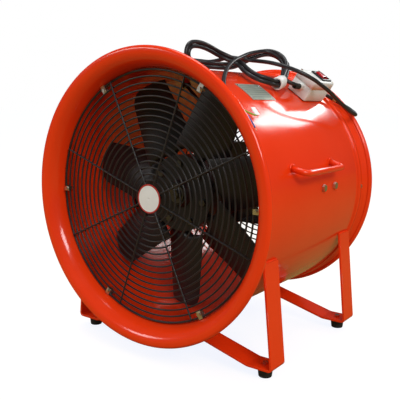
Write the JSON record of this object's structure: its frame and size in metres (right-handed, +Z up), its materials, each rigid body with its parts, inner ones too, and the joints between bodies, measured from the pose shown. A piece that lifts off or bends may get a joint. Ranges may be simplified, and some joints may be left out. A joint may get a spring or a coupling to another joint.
{
  "type": "portable ducted axial fan",
  "caption": "Short wide tube with a flared inlet bell and wire guards at both ends, an axial impeller on a motor inside, flat-bar stands, side handles and a switch box on top.",
  "frame": {"origin": "on the floor under the middle of the body, midway between the feet and midway along the casing", "axes": "+Z is up, +Y is along the casing's axis in the direction the air flows (inlet bell at -Y, outlet at +Y), +X is the side with the switch box"},
  "size_m": [0.582, 0.504, 0.641],
  "materials": {
    "red_paint": "glossy orange-red enamel",
    "black_coat": "black coated wire",
    "badge_white": "printed disc with a plain red border",
    "zinc": "zinc plated steel",
    "blade_black": "black moulded plastic, half gloss",
    "motor_black": "black painted casting",
    "steel": "turned steel",
    "core_iron": "laminated iron",
    "plate_metal": "grey-green printed aluminium",
    "box_cream": "light grey plastic",
    "black_plastic": "black plastic",
    "rocker_red": "red plastic",
    "rubber": "black rubber",
    "cable_jacket": "black cable jacket",
    "cores": "insulated cores: blue, brown, yellow-green",
    "label_white": "white label film"
  },
  "bodies": {
    "casing": {"casing_tube": "red_paint", "inlet_bell": "red_paint", "outlet_lip": "red_paint", "front_guard_rings": "black_coat", "front_guard_spokes": "black_coat", "guard_badge": "badge_white", "front_guard_clips": "zinc", "front_clip_screws": "zinc", "rear_guard_rings": "black_coat", "rear_guard_spokes": "black_coat", "rear_guard_screws": "zinc", "motor_shell": "motor_black", "motor_front_cap": "motor_black", "motor_rear_cap": "motor_black", "stator_core": "core_iron", "bearings": "steel", "motor_cradle": "black_coat", "motor_mount_bolts": "zinc", "terminal_box": "black_plastic", "inner_lead": "cable_jacket", "tube_gland": "black_plastic", "nameplate": "plate_metal", "nameplate_rivets": "steel", "switch_box": "box_cream", "switch_box_lid": "box_cream", "switch_box_gasket": "rubber", "lid_screws": "zinc", "switch_body": "black_plastic", "cable_glands": "box_cream", "strain_relief": "rubber", "lead_ferrule": "steel", "mains_cord_start": "cable_jacket", "cord_left_loop": "cable_jacket", "cord_right_loop": "cable_jacket", "mains_cord_end": "cable_jacket", "mains_cores": "cores", "cord_tag": "label_white", "cord_wrap": "label_white", "motor_lead": "cable_jacket", "side_handle_right": "red_paint", "side_handle_left": "red_paint", "front_stand": "red_paint", "rear_stand": "red_paint", "rubber_feet": "rubber", "foot_bolts": "zinc", "stand_welds": "red_paint"},
    "impeller": {"hub_front": "blade_black", "hub_back": "blade_black", "blade_1": "blade_black", "blade_2": "blade_black", "blade_3": "blade_black", "blade_4": "blade_black", "blade_5": "blade_black", "blade_6": "blade_black", "blade_7": "blade_black", "impeller_bolts": "zinc", "shaft": "steel", "shaft_key": "steel", "rotor_core": "core_iron"},
    "rocker": {"rocker": "rocker_red"}
  },
  "joints": [
    {"name": "impeller_spin", "type": "hinge", "parent": "casing", "child": "impeller", "pos_m": [0, -0.104, 0.327], "axis": [0, 1, 0], "continuous": true},
    {"name": "rocker_tilt", "type": "hinge", "parent": "casing", "child": "rocker", "pos_m": [0.18173, 0.146, 0.5717], "axis": [0.8028, 0, -0.5962], "range_deg": [0, 16]}
  ]
}
